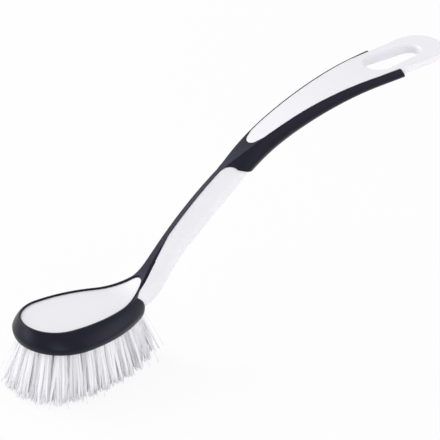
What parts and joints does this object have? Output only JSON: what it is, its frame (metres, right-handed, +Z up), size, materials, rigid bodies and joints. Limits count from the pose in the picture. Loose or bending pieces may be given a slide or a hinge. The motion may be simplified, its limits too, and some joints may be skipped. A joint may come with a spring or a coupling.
{
  "type": "dish brush",
  "caption": "Dish brush with a teardrop tufted head and a curved stiff handle in a soft moulded grip skin, ending in a hanging slot.",
  "frame": {"origin": "centre of the level face that the trimmed bristle tips make", "axes": "+Z up out of the bristle tips through the head, +X from the head towards the handle's end, +Y across the brush to its left when looking along +X"},
  "size_m": [0.2651, 0.0498, 0.1365],
  "materials": {
    "core": "satin white polypropylene",
    "soft_skin": "matt black thermoplastic elastomer",
    "bristle": "translucent white filament",
    "anchor": "drawn flat wire"
  },
  "bodies": {
    "root": {"handle_core": "core", "soft_overmould": "soft_skin", "tuft_01": "bristle", "tuft_02": "bristle", "tuft_03": "bristle", "tuft_04": "bristle", "tuft_05": "bristle", "tuft_06": "bristle", "tuft_07": "bristle", "tuft_08": "bristle", "tuft_09": "bristle", "tuft_10": "bristle", "tuft_11": "bristle", "tuft_12": "bristle", "tuft_13": "bristle", "tuft_14": "bristle", "tuft_15": "bristle", "tuft_16": "bristle", "tuft_17": "bristle", "tuft_18": "bristle", "tuft_19": "bristle", "tuft_20": "bristle", "tuft_21": "bristle", "tuft_22": "bristle", "tuft_23": "bristle", "tuft_24": "bristle", "tuft_25": "bristle", "tuft_26": "bristle", "tuft_27": "bristle", "tuft_28": "bristle", "tuft_29": "bristle", "tuft_30": "bristle", "tuft_31": "bristle", "tuft_32": "bristle", "tuft_33": "bristle", "tuft_34": "bristle", "tuft_35": "bristle", "tuft_36": "bristle", "tuft_anchors": "anchor"}
  },
  "joints": []
}
